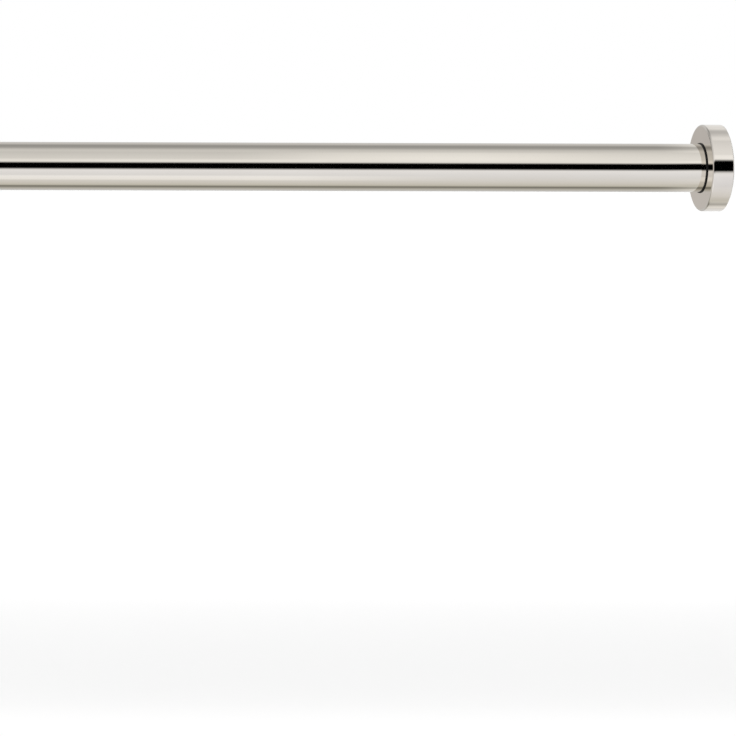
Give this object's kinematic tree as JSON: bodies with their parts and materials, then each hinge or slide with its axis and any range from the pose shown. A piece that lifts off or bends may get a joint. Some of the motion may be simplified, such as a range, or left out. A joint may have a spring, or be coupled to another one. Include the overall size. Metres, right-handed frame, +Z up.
{
  "type": "spring tension rod",
  "caption": "Telescoping spring tension rod with a round flange and rubber wall pad at each end, for hanging a curtain between two walls.",
  "frame": {"origin": "centre of the right wall pad's outer face, where the rod presses on the wall", "axes": "+X along the rod and out into the right wall, +Z up, +Y away from the viewer"},
  "size_m": [0.762, 0.0456, 0.0456],
  "materials": {
    "polished_nickel": "polished nickel plate",
    "white_nylon": "natural moulded nylon",
    "black_nylon": "black moulded nylon",
    "wall_rubber": "pale grey moulded rubber",
    "spring_steel": "drawn and oiled",
    "zinc_steel": "bright zinc plate",
    "cast_zinc": "die cast, as tumbled"
  },
  "bodies": {
    "outer": {"outer_tube": "polished_nickel", "outer_flange": "polished_nickel", "outer_end_plug": "black_nylon", "outer_wall_pad": "wall_rubber", "mouth_collar": "polished_nickel"},
    "glide": {"glide_ring": "white_nylon"},
    "inner": {"inner_tube": "polished_nickel", "inner_flange": "polished_nickel", "inner_end_plug": "black_nylon", "inner_wall_pad": "wall_rubber", "guide_bush": "white_nylon", "bush_pins": "zinc_steel", "spring_anchor": "white_nylon", "anchor_pin": "zinc_steel", "anchor_washer": "zinc_steel", "main_spring": "spring_steel"},
    "plunger": {"plunger_rod": "zinc_steel", "plunger_head": "black_nylon", "stop_bumper": "wall_rubber", "head_pin": "zinc_steel", "plunger_washer": "zinc_steel", "lock_core": "cast_zinc", "core_pin": "zinc_steel", "retaining_washer": "zinc_steel", "retaining_screw": "zinc_steel"},
    "shoe": {"lock_shoe": "white_nylon"}
  },
  "joints": [
    {"name": "extend", "type": "slide", "parent": "outer", "child": "glide", "axis": [-1, 0, 0], "range_m": [-0.152, 0.254]},
    {"name": "twist", "type": "hinge", "parent": "glide", "child": "inner", "pos_m": [-0.2723, 0, 0], "axis": [1, 0, 0], "continuous": true},
    {"name": "spring_stroke", "type": "slide", "parent": "inner", "child": "plunger", "axis": [-1, 0, 0], "range_m": [0, 0.035], "stiffness_N_per_m": 3400, "springref_m": -0.02, "deforming": ["main_spring"]},
    {"name": "cam_turn", "type": "hinge", "parent": "plunger", "child": "shoe", "pos_m": [-0.2172, 0, 0.0012], "axis": [1, 0, 0], "range_deg": [-13, 13]}
  ]
}
